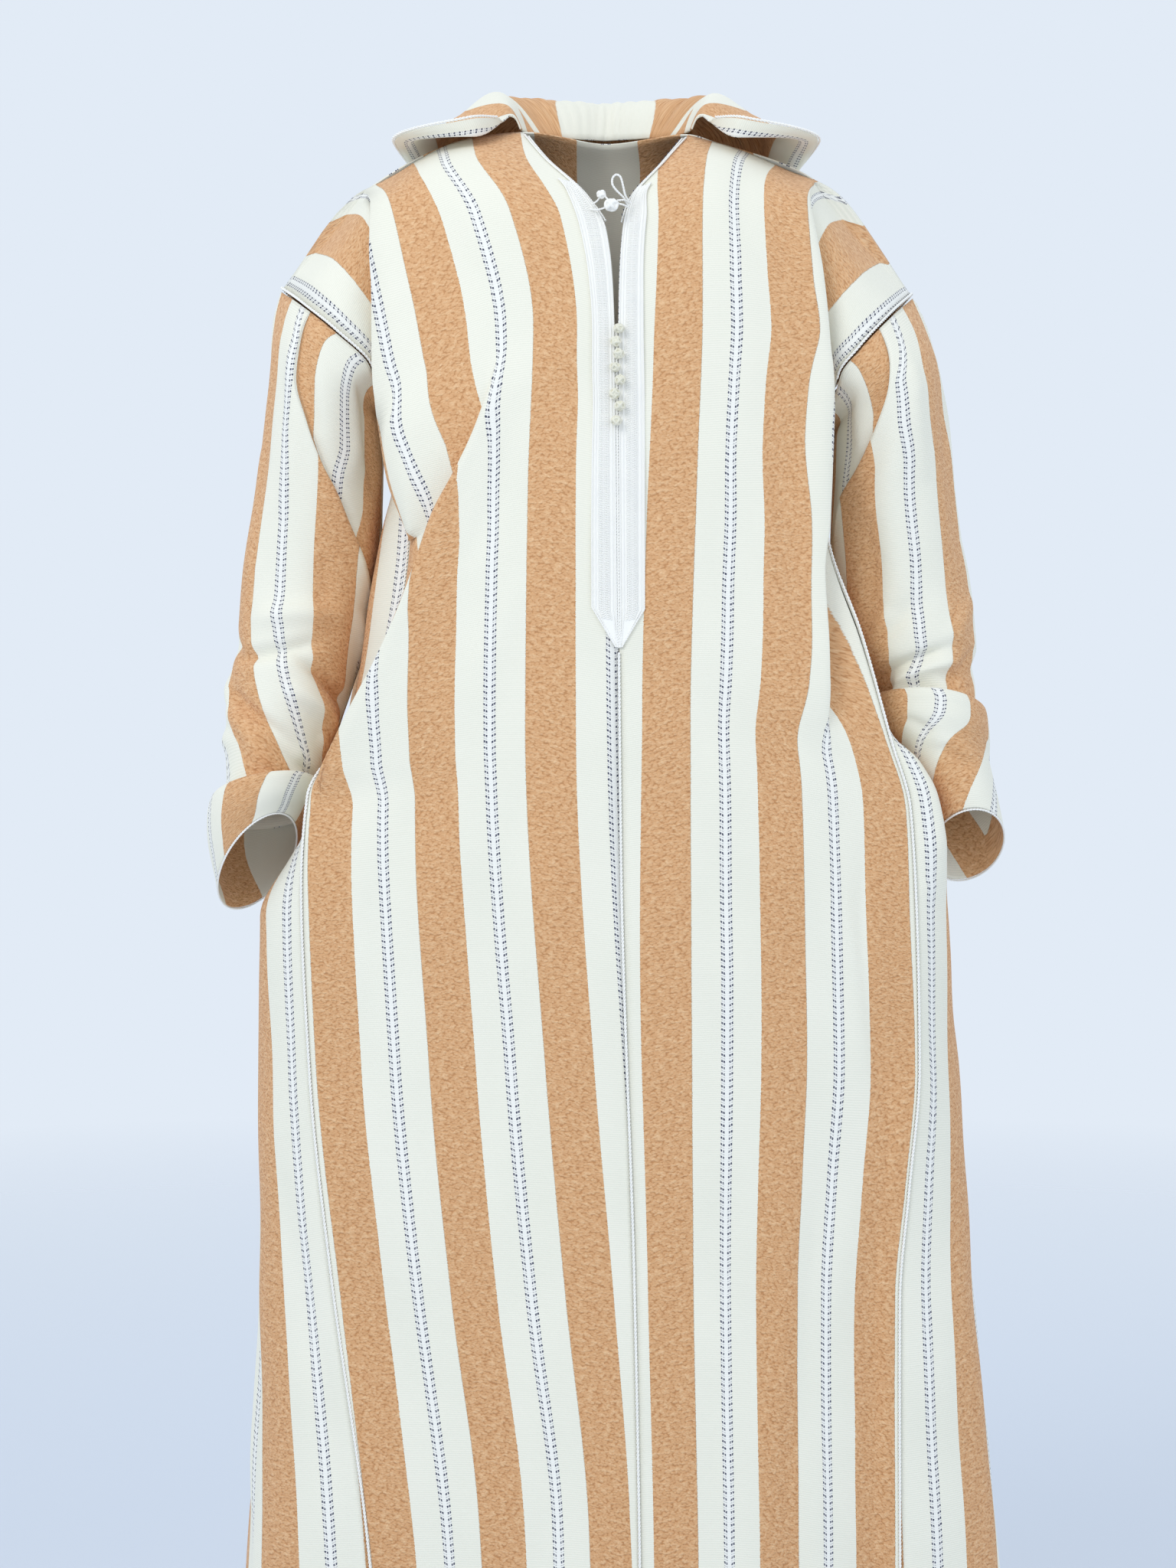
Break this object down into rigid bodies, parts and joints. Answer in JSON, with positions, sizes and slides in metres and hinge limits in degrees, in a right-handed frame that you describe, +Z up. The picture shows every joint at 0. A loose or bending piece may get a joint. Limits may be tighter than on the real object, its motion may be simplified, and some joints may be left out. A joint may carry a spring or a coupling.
{
  "type": "hooded djellaba robe",
  "caption": "Ankle-length hooded robe with straight striped panels, side gores, long sleeves with crumpled cuffs and a braided front slit.",
  "frame": {"origin": "middle of the shoulder line at the neck, where the robe is held", "axes": "+Z up, -Y towards the front of the robe, +X towards the right of somebody facing its front"},
  "size_m": [0.659, 0.3436, 1.4474],
  "materials": {
    "striped_cloth": "matt wool, ivory and camel stripes with dashed dark lines",
    "white_trim": "soft satin white cord and braid"
  },
  "bodies": {
    "root": {"front_left": "striped_cloth", "front_right": "striped_cloth", "back_panel": "striped_cloth", "gore_left": "striped_cloth", "gore_right": "striped_cloth", "sleeve_left": "striped_cloth", "sleeve_right": "striped_cloth", "hood": "striped_cloth", "braid_left": "white_trim", "braid_right": "white_trim", "neck_cord_left": "white_trim", "neck_cord_right": "white_trim", "centre_cord": "white_trim", "side_piping_left": "white_trim", "side_piping_right": "white_trim", "armhole_piping_left": "white_trim", "armhole_piping_right": "white_trim", "hood_piping": "white_trim", "cuff_piping_left": "white_trim", "cuff_piping_right": "white_trim", "button_1": "white_trim", "button_2": "white_trim", "button_3": "white_trim", "button_4": "white_trim", "button_5": "white_trim", "button_6": "white_trim", "button_7": "white_trim", "button_8": "white_trim", "toggle_knot": "white_trim", "toggle_loop": "white_trim"}
  },
  "joints": []
}
